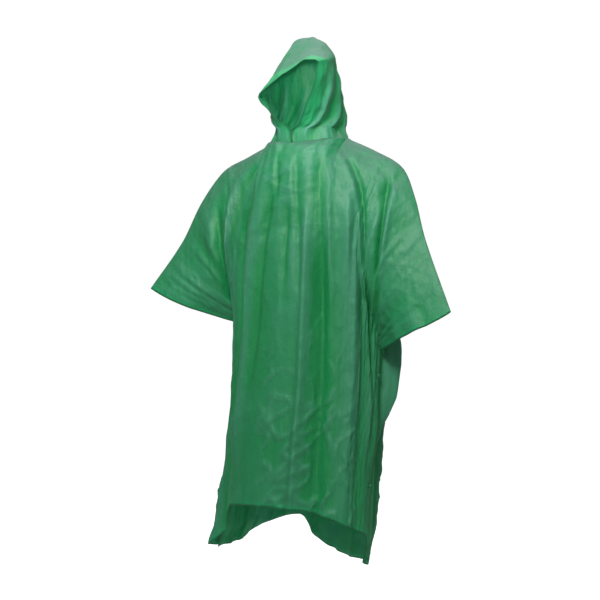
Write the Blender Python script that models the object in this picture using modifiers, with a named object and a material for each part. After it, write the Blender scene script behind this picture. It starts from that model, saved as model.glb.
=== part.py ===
"""Rain poncho: a hooded pull-over of thin green film, held open as if it were worn.

The wearer's neck centre, at shoulder height, is the origin. +Z is up, the front faces -Y, and
the wearer's left is +X. Each panel starts as a flat grid, the cut piece. A form function carries
every grid point to its place on the worn garment: the top edge follows the neck, the shoulder
and the sleeve-top seam, and below that the cloth comes round to a hanging ring. Folds from a
table are then pressed into it, and Solidify gives the wall.
"""

import math

import bmesh
import bpy
from mathutils import Matrix, Vector

WALL = 0.0015           # wall of the panels and the hood
SEAM_GAP = 0.0003       # between two pieces at a seam
FILM_GREEN = (0.045, 0.25, 0.12, 1.0)
STUD_GREEN = (0.03, 0.17, 0.08, 1.0)

NECK_HALF_WIDTH = 0.105
NECK_FRONT = 0.100      # from the neck's centre to the throat
NECK_BACK = 0.085       # from the neck's centre to the nape
NECK_DIP = 0.012        # how far the neck seam drops at the throat
NECK_SLOPE = 0.32       # how steeply the cloth leaves the neck, from 0 (level) to 1
NECK_SHARE = 0.16       # share of a panel's half width that is gathered into the neck
SHOULDER_SHARE = 0.45   # share at which the shoulder ends and the sleeve starts

COLUMNS_A_SIDE = 32
PANEL_ROWS = 14
DRAPE_ROW_SHARE = 6 / PANEL_ROWS    # rows above this share come off the shoulder
HOOD_COLUMNS = 16
HOOD_ROWS = 10

# Columns are closer together in the neck gathers: (column share, cloth share)
COLUMN_SPREAD = ((0.0, 0.0), (0.25, NECK_SHARE), (0.5, SHOULDER_SHARE), (1.0, 1.0))

# The seam along the shoulder and the top of each sleeve: (cloth share, x, y, z)
SEAM_LINE = {
    "left": (
        (NECK_SHARE, 0.105, 0.000, 0.000),
        (0.30, 0.188, 0.000, -0.036),
        (SHOULDER_SHARE, 0.264, 0.000, -0.080),
        (0.58, 0.310, -0.020, -0.156),
        (0.74, 0.352, -0.045, -0.265),
        (1.00, 0.443, -0.090, -0.445),
    ),
    "right": (
        (NECK_SHARE, -0.105, 0.000, 0.000),
        (0.30, -0.190, 0.000, -0.037),
        (SHOULDER_SHARE, -0.273, 0.000, -0.077),
        (0.58, -0.326, -0.020, -0.156),
        (0.74, -0.370, -0.045, -0.260),
        (1.00, -0.443, -0.090, -0.385),
    ),
}

# The hanging ring: (height, left half width, right half width, front y, back y)
HANGING_RING = (
    (-0.10, 0.200, 0.200, -0.105, 0.100),
    (-0.22, 0.225, 0.222, -0.145, 0.125),
    (-0.35, 0.220, 0.216, -0.158, 0.135),
    (-0.50, 0.212, 0.207, -0.165, 0.142),
    (-0.65, 0.206, 0.212, -0.175, 0.138),
    (-0.80, 0.198, 0.214, -0.190, 0.122),
    (-1.00, 0.197, 0.223, -0.205, 0.096),
    (-1.04, 0.191, 0.238, -0.207, 0.091),
    (-1.12, 0.176, 0.246, -0.208, 0.086),
)

# Where each share of the cloth hangs, in degrees round from the middle: (cloth share, angle)
RING_ANGLE = ((0.0, 0.0), (NECK_SHARE, 31.0), (SHOULDER_SHARE, 61.0), (1.0, 90.0))

# Height at which the cloth has come down to the ring: (cloth share, left, right)
DRAPE_END = (
    (0.0, -0.23, -0.23),
    (NECK_SHARE, -0.26, -0.26),
    (SHOULDER_SHARE, -0.40, -0.37),
    (1.0, -0.545, -0.478),
)

# Height of the hem: (cloth share, left, right)
FRONT_HEM = (
    (0.00, -0.936, -0.936),
    (0.16, -0.946, -0.938),
    (0.26, -0.960, -0.950),
    (0.45, -0.982, -1.040),
    (1.00, -1.012, -1.062),
)
BACK_HEM = (
    (0.00, -1.066, -1.066),
    (0.04, -1.076, -1.042),
    (0.11, -1.084, -0.986),
    (0.22, -1.088, -0.998),
    (0.50, -1.092, -1.046),
    (0.80, -1.082, -1.060),
    (1.00, -1.062, -1.066),
)

# How a cuff's edge drops: below 1 at once, above 1 late. (front, back)
CUFF_BOW = {"left": (0.80, 1.60), "right": (0.90, 1.10)}
SLEEVE_FILL = 0.042     # how far an arm's room pushes the sleeve's front and back apart
SIDE_LAP = math.radians(10)     # how far the back's side edge reaches inside the front's
SIDE_LAP_DEPTH = 0.0055
CORNER_SPLAY = math.radians(8)     # how far the back's left corner hangs away from the front
SIDE_GAPE = 0.009       # how far each edge stands off between the studs
UPPER_STUD = 0.16       # share of the hanging height, from the cuff down
LOWER_STUD = 0.74

FOLD_FREE_SHARE = 0.74  # past this share the folds fade out, so that the side edges lie together

# Folds pressed into the panels, with a share below 0 on the wearer's right:
# (share at the top, halfway and at the hem, start row, end row, half width, height)
FRONT_FOLDS = (
    (-0.05, -0.45, -0.60, 0.08, 0.92, 0.048, -0.022),
    (0.00, -0.38, -0.52, 0.10, 1.30, 0.032, 0.012),
    (-0.16, -0.60, -0.72, 0.10, 1.20, 0.044, 0.014),
    (-0.40, -0.72, -0.80, 0.10, 0.75, 0.050, -0.020),
    (0.01, -0.08, -0.17, 0.26, 1.30, 0.026, -0.012),
    (-0.03, -0.15, -0.26, 0.30, 1.40, 0.032, 0.011),
    (-0.08, -0.24, -0.36, 0.24, 1.40, 0.032, -0.011),
    (0.01, 0.065, 0.11, 0.05, 0.80, 0.022, -0.013),
    (0.06, 0.095, 0.085, 0.08, 1.60, 0.024, 0.012),
    (0.08, 0.145, 0.18, 0.05, 1.30, 0.022, -0.013),
    (0.11, 0.19, 0.22, 0.10, 1.50, 0.024, 0.009),
    (-0.03, 0.63, 0.88, 0.04, 0.85, 0.034, 0.013),
    (0.02, 0.70, 0.98, 0.05, 0.68, 0.036, -0.024),
    (0.10, 0.48, 0.60, 0.12, 1.30, 0.036, 0.011),
    (0.18, 0.36, 0.42, 0.26, 1.20, 0.034, -0.011),
    (0.34, 0.90, 1.10, 0.02, 0.55, 0.040, -0.022),
    (0.44, 0.86, 1.00, 0.04, 0.50, 0.036, 0.012),
)
BACK_FOLDS = (
    (-0.10, -0.42, -0.55, 0.06, 1.40, 0.044, -0.017),
    (-0.16, -0.55, -0.66, 0.10, 1.40, 0.042, 0.014),
    (-0.40, -0.68, -0.76, 0.12, 1.20, 0.050, -0.019),
    (-0.06, -0.22, -0.30, 0.08, 1.50, 0.034, 0.012),
    (-0.04, -0.10, -0.16, 0.10, 1.50, 0.028, -0.012),
    (-0.01, -0.02, -0.05, 0.12, 1.60, 0.028, -0.014),
    (0.02, 0.03, 0.02, 0.16, 1.80, 0.028, 0.014),
    (0.05, 0.12, 0.14, 0.06, 1.50, 0.028, -0.012),
    (0.09, 0.22, 0.26, 0.08, 1.50, 0.036, 0.013),
    (0.12, 0.34, 0.40, 0.08, 1.40, 0.034, -0.013),
    (0.20, 0.46, 0.54, 0.10, 1.40, 0.040, 0.014),
    (0.36, 0.58, 0.66, 0.12, 1.20, 0.046, -0.020),
    (0.70, 0.74, 0.78, 0.34, 0.74, 0.080, 0.048),
)

# The hood's face edge from the throat to the crown seam: (level, x, y, z)
FACE_EDGE = {
    "left": (
        (0.00, 0.000, -0.0995, -0.012),
        (0.08, 0.003, -0.1010, 0.014),
        (0.20, 0.026, -0.1080, 0.036),
        (0.42, 0.060, -0.1250, 0.090),
        (0.62, 0.080, -0.1220, 0.147),
        (0.78, 0.083, -0.1120, 0.184),
        (0.90, 0.048, -0.1130, 0.190),
        (1.00, 0.000, -0.1140, 0.166),
    ),
    "right": (
        (0.00, 0.000, -0.0995, -0.012),
        (0.08, 0.003, -0.1010, 0.014),
        (0.20, 0.036, -0.1090, 0.046),
        (0.42, 0.066, -0.1200, 0.080),
        (0.62, 0.085, -0.1210, 0.107),
        (0.78, 0.066, -0.1180, 0.126),
        (0.90, 0.035, -0.1160, 0.145),
        (1.00, 0.000, -0.1140, 0.166),
    ),
}

# The hood's centre line up the back of the head: (level, y, z)
NAPE_LINE = (
    (0.00, 0.0850, 0.000),
    (0.20, 0.0860, 0.050),
    (0.42, 0.0820, 0.105),
    (0.62, 0.0720, 0.155),
    (0.78, 0.0600, 0.195),
    (0.90, 0.0500, 0.220),
    (1.00, 0.0420, 0.235),
)

# How far the hood stands out at the side and up at the crown: (level, side, crown)
HOOD_FILL = {
    "left": (
        (0.00, 0.105, 0.000),
        (0.20, 0.068, 0.000),
        (0.42, 0.036, 0.000),
        (0.62, 0.016, 0.004),
        (0.78, 0.005, 0.016),
        (0.90, 0.003, 0.036),
        (1.00, 0.000, 0.062),
    ),
    "right": (
        (0.00, 0.105, 0.000),
        (0.20, 0.066, 0.000),
        (0.42, 0.036, 0.000),
        (0.62, 0.018, 0.024),
        (0.78, 0.022, 0.062),
        (0.90, 0.024, 0.076),
        (1.00, 0.000, 0.062),
    ),
}

STUD_RADIUS = 0.006
STUD_HEIGHT = 0.0022
STUD_CLEARANCE = 0.0015
STUD_SHARE = 0.95       # how far round the side a stud sits


def clear_scene():
    for item in list(bpy.data.objects):
        bpy.data.objects.remove(item, do_unlink=True)


def make_material(name, colour, roughness):
    """A Principled material in one colour."""
    material = bpy.data.materials.new(name)
    material.use_nodes = True
    shader = material.node_tree.nodes["Principled BSDF"]
    shader.inputs["Base Color"].default_value = colour
    shader.inputs["Roughness"].default_value = roughness
    shader.inputs["Metallic"].default_value = 0.0
    return material


def ease(x):
    """0 below 0, 1 above 1, with a soft start and end."""
    x = min(max(x, 0.0), 1.0)
    return x * x * (3 - 2 * x)


def mix(a, b, share):
    return a + (b - a) * share


def read_straight(rows, x):
    """Value of a two-column table at x, along straight lines."""
    for (x0, y0), (x1, y1) in zip(rows, rows[1:]):
        if x <= x1:
            return mix(y0, y1, (x - x0) / (x1 - x0))
    return rows[-1][1]


def slope(rows, index, column):
    """Slope of a table's column at one row, level where the column turns back."""
    if index == 0:
        low, high = 0, 1
    elif index == len(rows) - 1:
        low, high = index - 1, index
    else:
        before = rows[index][column] - rows[index - 1][column]
        after = rows[index + 1][column] - rows[index][column]
        if before * after <= 0:
            return 0.0
        low, high = index - 1, index + 1
    return (rows[high][column] - rows[low][column]) / (rows[high][0] - rows[low][0])


def read_smooth(rows, x):
    """Values of a table's columns at x, on one smooth curve through its rows."""
    direction = 1 if rows[-1][0] > rows[0][0] else -1
    last = len(rows) - 2
    index = 0
    while index < last and (x - rows[index + 1][0]) * direction > 0:
        index += 1
    x0, x1 = rows[index][0], rows[index + 1][0]
    share = min(max((x - x0) / (x1 - x0), 0.0), 1.0)
    values = []
    for column in range(1, len(rows[0])):
        y0, y1 = rows[index][column], rows[index + 1][column]
        m0 = slope(rows, index, column) * (x1 - x0)
        m1 = slope(rows, index + 1, column) * (x1 - x0)
        s2, s3 = share * share, share ** 3
        value = (2 * s3 - 3 * s2 + 1) * y0 + (s3 - 2 * s2 + share) * m0
        value += (3 * s2 - 2 * s3) * y1 + (s3 - s2) * m1
        values.append(value)
    return values


def side_of(share):
    return "left" if share >= 0 else "right"


def neck_point(angle, facing, inset=0.0):
    """A point on the neck ring, its angle measured from the throat or the nape."""
    reach = NECK_FRONT if facing < 0 else NECK_BACK
    x = (NECK_HALF_WIDTH - inset) * math.sin(angle)
    y = facing * (reach - inset) * math.cos(angle)
    dip = NECK_DIP * math.cos(angle) ** 2 if facing < 0 else 0.0
    return Vector((x, y, -dip))


def top_edge(share, facing):
    """The panel's top edge: half the neck ring, then the shoulder and sleeve-top seam."""
    if abs(share) < NECK_SHARE:
        return neck_point(share / NECK_SHARE * math.pi / 2, facing)
    x, y, z = read_smooth(SEAM_LINE[side_of(share)], abs(share))
    return Vector((x, y + facing * SEAM_GAP, z))


def ring_point(share, angle, height, facing, inset):
    """A point on the hanging ring, its angle measured from the front or back middle."""
    left, right, front, back = read_smooth(HANGING_RING, height)
    half_width = left if share >= 0 else right
    middle = (front + back) / 2
    depth = (back - front) / 2
    x = math.copysign((half_width - inset) * math.sin(angle), share)
    y = middle + facing * (depth - inset) * math.cos(angle)
    return Vector((x, y, height))


def bare_panel_point(share, row, facing, hem):
    """A point of a panel before folding: share across it, row share down it."""
    reach = abs(share)
    column = 1 if share >= 0 else 2
    drape_end = read_straight([(r[0], r[column]) for r in DRAPE_END], reach)
    hem_height = read_smooth([(r[0], r[column]) for r in hem], reach)[0]
    top = top_edge(share, facing)
    angle = math.radians(read_smooth(RING_ANGLE, reach)[0])
    edge_zone = ease((reach - 0.80) / 0.15)
    if row < DRAPE_ROW_SHARE:
        part = row / DRAPE_ROW_SHARE
        straight = ease((reach - SHOULDER_SHARE) / (1 - SHOULDER_SHARE))
        bow = CUFF_BOW[side_of(share)][0 if facing < 0 else 1]
        shoulder_fall = mix(1 - math.cos(part * math.pi / 2), part, NECK_SLOPE)
        fall = mix(shoulder_fall, part ** bow, straight)
        out = mix(math.sin(part * math.pi / 2), part, straight)
        height = mix(top.z, drape_end, fall)
        inset = max(facing, 0) * SIDE_LAP_DEPTH * edge_zone * out
        ring = ring_point(share, angle, drape_end, facing, inset)
        point = Vector((mix(top.x, ring.x, out), mix(top.y, ring.y, out), height))
        sleeve = ease((reach - 0.30) / 0.35) * math.sin(math.pi * part)
        point.y += facing * SLEEVE_FILL * sleeve
        return point
    part = (row - DRAPE_ROW_SHARE) / (1 - DRAPE_ROW_SHARE)
    height = mix(drape_end, hem_height, part)
    between_studs = min(max(part - UPPER_STUD, 0.0) / (LOWER_STUD - UPPER_STUD), 1.0)
    gape = SIDE_GAPE * edge_zone * math.sin(math.pi * between_studs) ** 2
    inset = facing * gape
    if facing > 0:
        loose = ease((part - 0.80) / 0.18) if share > 0 else 0.0
        angle += SIDE_LAP * ease(part * 3) * edge_zone * (1 - loose)
        angle -= CORNER_SPLAY * loose * ease((reach - 0.45) / 0.55)
        inset += SIDE_LAP_DEPTH * edge_zone
    return ring_point(share, angle, height, facing, inset)


def fold_height(share, row, folds):
    """How far the folds stand out of the panel, or sink into it, at one point."""
    height = 0.0
    for top, middle, bottom, start, end, half_width, size in folds:
        bend = 2 * (top + bottom - 2 * middle)
        centre = mix(top, bottom, row) - bend * row * (1 - row)
        across = (share - centre) / half_width
        fade_in = ease((row - start) / 0.18)
        fade_out = 1 - ease((row - end + 0.18) / 0.18)
        height += size * math.exp(-across * across) * fade_in * fade_out
    return height * (1 - ease((abs(share) - FOLD_FREE_SHARE) / 0.12))


def outward(share, row, facing, hem):
    """The bare panel's outward direction at one point."""
    step = 0.004
    low, high = max(row - step, 0.0), min(row + step, 1.0)
    across = bare_panel_point(min(share + step, 1.0), row, facing, hem)
    across -= bare_panel_point(max(share - step, -1.0), row, facing, hem)
    down = bare_panel_point(share, high, facing, hem) - bare_panel_point(share, low, facing, hem)
    return across.cross(down).normalized() * facing


def panel_point(share, row, facing, hem, folds):
    """A point of the folded panel."""
    point = bare_panel_point(share, row, facing, hem)
    return point + outward(share, row, facing, hem) * fold_height(share, row, folds)


def hood_point(along, level, side):
    """A point of one half of the hood, from the face edge (0) round to the nape line (1)."""
    sign = 1 if side == "left" else -1
    edge_x, edge_y, edge_z = read_smooth(FACE_EDGE[side], level)
    nape_y, nape_z = read_smooth(NAPE_LINE, level)
    side_fill, crown_fill = read_smooth(HOOD_FILL[side], level)
    turn = along * math.pi
    above_neck = ease(level / 0.35)
    back_share = mix((1 - math.cos(turn)) / 2, math.sin(turn / 2), above_neck)
    x = edge_x * math.cos(turn / 2) + side_fill * math.sin(turn)
    y = mix(edge_y, nape_y, back_share)
    z = mix(edge_z, nape_z, ease(along)) + crown_fill * math.sin(turn) ** (1 + along)
    if level == 0.0:
        foot = neck_point(turn, -1) if along <= 0.5 else neck_point(math.pi - turn, 1)
        inner = foot * (1 - (WALL + 3 * SEAM_GAP) / NECK_BACK)
        x, y, z = inner.x, inner.y, foot.z - 2 * WALL
    return Vector((sign * (x + SEAM_GAP), y, z))


def make_sheet(name, columns, rows, place, material, collection):
    """A closed wall over a flat grid, each grid point carried to place(across, down)."""
    mesh = bpy.data.meshes.new(name)
    flat = bmesh.new()
    bmesh.ops.create_grid(flat, x_segments=columns, y_segments=rows, size=1.0)
    for vertex in flat.verts:
        vertex.co = place(vertex.co.x, (1 - vertex.co.y) / 2)
    flat.to_mesh(mesh)
    flat.free()
    mesh.materials.append(material)
    mesh.shade_smooth()
    item = bpy.data.objects.new(name, mesh)
    collection.objects.link(item)
    wall = item.modifiers.new("wall", "SOLIDIFY")
    wall.thickness = WALL
    wall.offset = 1.0
    return item


def make_panel(name, facing, hem, folds, material, collection):
    """The front (facing -1) or back (facing 1) panel with its half of both sleeves."""

    def place(across, down):
        share = math.copysign(read_straight(COLUMN_SPREAD, abs(across)), -facing * across)
        return panel_point(share, down, facing, hem, folds)

    make_sheet(name, 2 * COLUMNS_A_SIDE, PANEL_ROWS, place, material, collection)


def make_hood_half(side, material, collection):
    """One half of the hood, from the neck seam up to the crown seam."""

    def place(across, down):
        along = (1 + across) / 2 if side == "left" else (1 - across) / 2
        return hood_point(along, 1 - down, side)

    make_sheet(f"hood_{side}", HOOD_COLUMNS, HOOD_ROWS, place, material, collection)


def make_stud(name, point, direction, material, collection):
    """A flat round stud half, lying across one direction."""
    mesh = bpy.data.meshes.new(name)
    disc = bmesh.new()
    bmesh.ops.create_cone(disc, cap_ends=True, segments=20, radius1=STUD_RADIUS,
                          radius2=0.8 * STUD_RADIUS, depth=STUD_HEIGHT)
    turn = direction.to_track_quat("Z", "Y").to_matrix().to_4x4()
    bmesh.ops.transform(disc, matrix=Matrix.Translation(point) @ turn, verts=disc.verts)
    disc.to_mesh(mesh)
    disc.free()
    mesh.materials.append(material)
    item = bpy.data.objects.new(name, mesh)
    collection.objects.link(item)


def make_studs(material, collection):
    """The caps of the four studs, on the outside of the front panel's side edges."""
    for side, share in (("left", STUD_SHARE), ("right", -STUD_SHARE)):
        for place, hanging_share in (("upper", UPPER_STUD), ("lower", LOWER_STUD)):
            row = mix(DRAPE_ROW_SHARE, 1.0, hanging_share)
            front = panel_point(share, row, -1, FRONT_HEM, FRONT_FOLDS)
            away = outward(share, row, -1, FRONT_HEM)
            cap = front + away * (WALL + STUD_CLEARANCE + STUD_HEIGHT / 2)
            make_stud(f"stud_{side}_{place}", cap, away, material, collection)


def main():
    clear_scene()
    collection = bpy.data.collections.new("rain_poncho")
    bpy.context.scene.collection.children.link(collection)
    film = make_material("green_film", FILM_GREEN, 0.45)
    stud_plastic = make_material("stud_plastic", STUD_GREEN, 0.4)
    make_panel("front_panel", -1, FRONT_HEM, FRONT_FOLDS, film, collection)
    make_panel("back_panel", 1, BACK_HEM, BACK_FOLDS, film, collection)
    for side in ("left", "right"):
        make_hood_half(side, film, collection)
    make_studs(stud_plastic, collection)


main()
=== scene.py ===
# %% [markdown]
# # A rain poncho in thin green film
#
# This is a pull-over poncho: a front and a back panel with half of each wide sleeve, welded along
# the shoulders and the tops of the sleeves, and a hood of two halves welded to the neck. It hangs
# as if somebody wore it, and nobody is inside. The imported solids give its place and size. Each
# piece is made here again as a much finer shell on the same form, with the folds, the gathers,
# the hems and the finish that the solids are too coarse to show.

# %% Load the fixed frame
import math

import bmesh
import bpy
import numpy as np
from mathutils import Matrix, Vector


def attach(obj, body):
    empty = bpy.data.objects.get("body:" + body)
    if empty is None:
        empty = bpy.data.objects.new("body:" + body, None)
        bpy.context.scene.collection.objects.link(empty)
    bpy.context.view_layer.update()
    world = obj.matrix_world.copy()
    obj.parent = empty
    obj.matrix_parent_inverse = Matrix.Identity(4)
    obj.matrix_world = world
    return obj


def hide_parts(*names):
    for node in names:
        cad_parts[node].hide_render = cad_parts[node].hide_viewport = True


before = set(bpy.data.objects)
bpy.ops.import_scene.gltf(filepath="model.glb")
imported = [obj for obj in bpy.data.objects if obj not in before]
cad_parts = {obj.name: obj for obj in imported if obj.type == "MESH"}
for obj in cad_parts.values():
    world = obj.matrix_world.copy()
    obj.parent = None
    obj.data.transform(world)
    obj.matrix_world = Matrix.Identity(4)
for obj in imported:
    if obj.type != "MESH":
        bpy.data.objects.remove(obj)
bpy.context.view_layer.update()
print("solids:", sorted(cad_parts))

# %% [markdown]
# ## Helpers for tables
#
# A garment's form can be sculpted, simulated or written down. Here it is written down: a short
# table gives a few stations, such as those of the seam along the shoulder, and a smooth curve
# fills in between them. Everything works on whole arrays of points at once, because a loop over
# fifty thousand points in plain Python would be slow.


# %% Soft steps and smooth tables
def ease(x):
    """0 below 0, 1 above 1, with a soft start and end."""
    x = np.clip(x, 0.0, 1.0)
    return x * x * (3 - 2 * x)


def mix(a, b, share):
    return a + (b - a) * share


def read_smooth(rows, x, column):
    """One column of a table at every x, on a smooth curve that doesn't overshoot its rows."""
    table = np.array(rows, float)
    if table[0, 0] > table[-1, 0]:
        table = table[::-1]
    places, values = table[:, 0], table[:, column]
    steps = np.diff(values) / np.diff(places)
    slopes = np.empty_like(values)
    slopes[0], slopes[-1] = steps[0], steps[-1]
    slopes[1:-1] = (values[2:] - values[:-2]) / (places[2:] - places[:-2])
    slopes[1:-1][steps[1:] * steps[:-1] <= 0] = 0.0
    index = np.clip(np.searchsorted(places, x, side="right") - 1, 0, len(places) - 2)
    span = places[index + 1] - places[index]
    s = np.clip((x - places[index]) / span, 0.0, 1.0)
    start = (2 * s**3 - 3 * s**2 + 1) * values[index]
    end = (3 * s**2 - 2 * s**3) * values[index + 1]
    bend = (s**3 - 2 * s**2 + s) * slopes[index] + (s**3 - s**2) * slopes[index + 1]
    return start + end + bend * span


NOISE_CELLS = 96        # the noise repeats after this many units


def wander(x, y, seed):
    """Smooth noise from -1 to 1, the same on every run, with one wave about every 2 units."""
    lattice = np.random.default_rng(seed).uniform(-1, 1, (NOISE_CELLS + 1, NOISE_CELLS + 1))
    left, low = np.floor(x).astype(int), np.floor(y).astype(int)
    across, up = ease(x - left), ease(y - low)
    left, low = left % NOISE_CELLS, low % NOISE_CELLS
    bottom = mix(lattice[left, low], lattice[left + 1, low], across)
    top = mix(lattice[left, low + 1], lattice[left + 1, low + 1], across)
    return mix(bottom, top, up)


# %% [markdown]
# ## The worn form of the panels
#
# A point of a panel is named by its share across (0 at the middle, 1 at the side, below 0 on the
# wearer's right) and its row down (0 at the shoulder seam, 1 at the hem). The form carries it from
# the top edge, over the shoulder or down the sleeve, to a hanging ring. The tables repeat those of
# the solids, so the fine shell lies in the middle of the solid's wall.

# %% Sizes and tables of the panels
WALL = 0.0015           # wall of the solids, in metres
FILM = 0.0005           # thickness of the shown film
NECK_HALF_WIDTH = 0.105
NECK_FRONT = 0.100
NECK_BACK = 0.085
NECK_SHARE = 0.16
SHOULDER_SHARE = 0.45
DRAPE_ROW = 6 / 14      # the row by which the cloth has come down to the ring
SLEEVE_FILL = 0.042
NECK_DIP = 0.012        # how far the neck seam drops at the throat
SEAM_VALLEY = 0.0012    # how deep the soft crease along the neck seam is
NECK_SLOPE = 0.32       # how steeply the cloth leaves the neck, from 0 (level) to 1
SIDE_LAP = math.radians(10)
CORNER_SPLAY = math.radians(8)     # how far the back's left corner hangs away from the front
SIDE_LAP_DEPTH = 0.0055
SIDE_GAPE = 0.009
UPPER_STUD = 0.16
LOWER_STUD = 0.74
FOLD_FREE_SHARE = 0.74  # outside this share the cuffs and sides carry no folds from the tables
# How a cuff's edge drops: below 1 at once, above 1 late. (front, back)
CUFF_BOW = {"left": (0.80, 1.60), "right": (0.90, 1.10)}
COLUMN_SPREAD = ((0.0, 0.0), (0.25, NECK_SHARE), (0.5, SHOULDER_SHARE), (1.0, 1.0))

# (share, x, y, z)
SEAM_LINE = {
    "left": (
        (NECK_SHARE, 0.105, 0.000, 0.000),
        (0.30, 0.188, 0.000, -0.036),
        (SHOULDER_SHARE, 0.264, 0.000, -0.080),
        (0.58, 0.310, -0.020, -0.156),
        (0.74, 0.352, -0.045, -0.265),
        (1.00, 0.443, -0.090, -0.445),
    ),
    "right": (
        (NECK_SHARE, -0.105, 0.000, 0.000),
        (0.30, -0.190, 0.000, -0.037),
        (SHOULDER_SHARE, -0.273, 0.000, -0.077),
        (0.58, -0.326, -0.020, -0.156),
        (0.74, -0.370, -0.045, -0.260),
        (1.00, -0.443, -0.090, -0.385),
    ),
}
# (height, left half width, right half width, front y, back y)
HANGING_RING = (
    (-0.10, 0.200, 0.200, -0.105, 0.100),
    (-0.22, 0.225, 0.222, -0.145, 0.125),
    (-0.35, 0.220, 0.216, -0.158, 0.135),
    (-0.50, 0.212, 0.207, -0.165, 0.142),
    (-0.65, 0.206, 0.212, -0.175, 0.138),
    (-0.80, 0.198, 0.214, -0.190, 0.122),
    (-1.00, 0.197, 0.223, -0.205, 0.096),
    (-1.04, 0.191, 0.238, -0.207, 0.091),
    (-1.12, 0.176, 0.246, -0.208, 0.086),
)
# (share, degrees round the ring)
RING_ANGLE = ((0.0, 0.0), (NECK_SHARE, 31.0), (SHOULDER_SHARE, 61.0), (1.0, 90.0))
# (share, left height, right height)
DRAPE_END = (
    (0.0, -0.23, -0.23),
    (NECK_SHARE, -0.26, -0.26),
    (SHOULDER_SHARE, -0.40, -0.37),
    (1.0, -0.545, -0.478),
)
FRONT_HEM = (
    (0.00, -0.936, -0.936),
    (0.16, -0.946, -0.938),
    (0.26, -0.960, -0.950),
    (0.45, -0.982, -1.040),
    (1.00, -1.012, -1.062),
)
BACK_HEM = (
    (0.00, -1.066, -1.066),
    (0.04, -1.076, -1.042),
    (0.11, -1.084, -0.986),
    (0.22, -1.088, -0.998),
    (0.50, -1.092, -1.046),
    (0.80, -1.082, -1.060),
    (1.00, -1.062, -1.066),
)


# %% The form of a panel before it is folded
def top_edge(share, facing):
    """The neck ring, the shoulder and the sleeve-top seam, at every share."""
    reach = np.abs(share)
    turn = np.clip(share / NECK_SHARE, -1, 1) * math.pi / 2
    neck_reach = NECK_FRONT if facing < 0 else NECK_BACK
    dip = -NECK_DIP * np.cos(turn) ** 2 * (facing < 0)
    neck = np.stack([NECK_HALF_WIDTH * np.sin(turn), facing * neck_reach * np.cos(turn), dip], -1)
    sides = [
        np.stack([read_smooth(SEAM_LINE[side], reach, axis) for axis in (1, 2, 3)], -1)
        for side in ("left", "right")
    ]
    seam = np.where((share >= 0)[..., None], sides[0], sides[1])
    return np.where((reach < NECK_SHARE)[..., None], neck, seam)


def by_side(rows, share, reader):
    """A (share, left, right) table read on the side that each share lies on."""
    left, right = (reader(rows, np.abs(share), column) for column in (1, 2))
    return np.where(share >= 0, left, right)


def read_straight(rows, x, column):
    table = np.array(rows, float)
    return np.interp(x, table[:, 0], table[:, column])


def ring_point(share, angle, height, facing, inset):
    """Points on the hanging ring, their angle measured from the front or back middle."""
    left, right, front, back = (
        read_smooth(HANGING_RING, height, column) for column in (1, 2, 3, 4)
    )
    half_width = np.where(share >= 0, left, right)
    x = np.where(share >= 0, 1, -1) * (half_width - inset) * np.sin(angle)
    y = (front + back) / 2 + facing * ((back - front) / 2 - inset) * np.cos(angle)
    return np.stack([x, y, height], -1)


def bare_panel(share, row, facing, hem):
    """Every point of an unfolded panel, front (facing -1) or back (facing 1)."""
    reach = np.abs(share)
    drape_end = by_side(DRAPE_END, share, read_straight)
    hem_height = by_side(hem, share, read_smooth)
    top = top_edge(share, facing)
    angle = np.radians(read_smooth(RING_ANGLE, reach, 1))
    edge_zone = ease((reach - 0.80) / 0.15)

    part = np.clip(row / DRAPE_ROW, 0, 1)
    straight = ease((reach - SHOULDER_SHARE) / (1 - SHOULDER_SHARE))
    layer = 0 if facing < 0 else 1
    bow = np.where(share >= 0, CUFF_BOW["left"][layer], CUFF_BOW["right"][layer])
    shoulder_fall = mix(1 - np.cos(part * math.pi / 2), part, NECK_SLOPE)
    fall = mix(shoulder_fall, part**bow, straight)
    out = mix(np.sin(part * math.pi / 2), part, straight)
    lap_inset = max(facing, 0) * SIDE_LAP_DEPTH * edge_zone * out
    ring = ring_point(share, angle, drape_end, facing, lap_inset)
    draped = top + (ring - top) * out[..., None]
    draped[..., 2] = mix(top[..., 2], drape_end, fall)
    draped[..., 1] += facing * SLEEVE_FILL * ease((reach - 0.30) / 0.35) * np.sin(math.pi * part)

    part = np.clip((row - DRAPE_ROW) / (1 - DRAPE_ROW), 0, 1)
    between_studs = np.clip((part - UPPER_STUD) / (LOWER_STUD - UPPER_STUD), 0, 1)
    inset = facing * SIDE_GAPE * edge_zone * np.sin(math.pi * between_studs) ** 2
    lap = 0.0
    if facing > 0:
        loose = (share > 0) * ease((part - 0.80) / 0.18)
        lap = SIDE_LAP * ease(part * 3) * edge_zone * (1 - loose)
        lap = lap - CORNER_SPLAY * loose * ease((reach - 0.45) / 0.55)
        inset = inset + SIDE_LAP_DEPTH * edge_zone
    hanging = ring_point(share, angle + lap, mix(drape_end, hem_height, part), facing, inset)
    return np.where((row < DRAPE_ROW)[..., None], draped, hanging)


def facing_out(points, facing):
    """The outward direction at every point of a grid of points."""
    normal = np.cross(np.gradient(points, axis=1), np.gradient(points, axis=0)) * facing
    return normal / np.maximum(np.linalg.norm(normal, axis=-1, keepdims=True), 1e-9)


# %% [markdown]
# ## Folds
#
# Film doesn't drape like wool: it hangs in long, soft flutes that start at the neck and the
# shoulders and keep their direction. A fold here is one row of a table: where it runs, how wide
# and how high it is in metres, and which side of it is steeper. The width is measured on the
# cloth, so a fold keeps its width where the cloth narrows under the arm.

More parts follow.
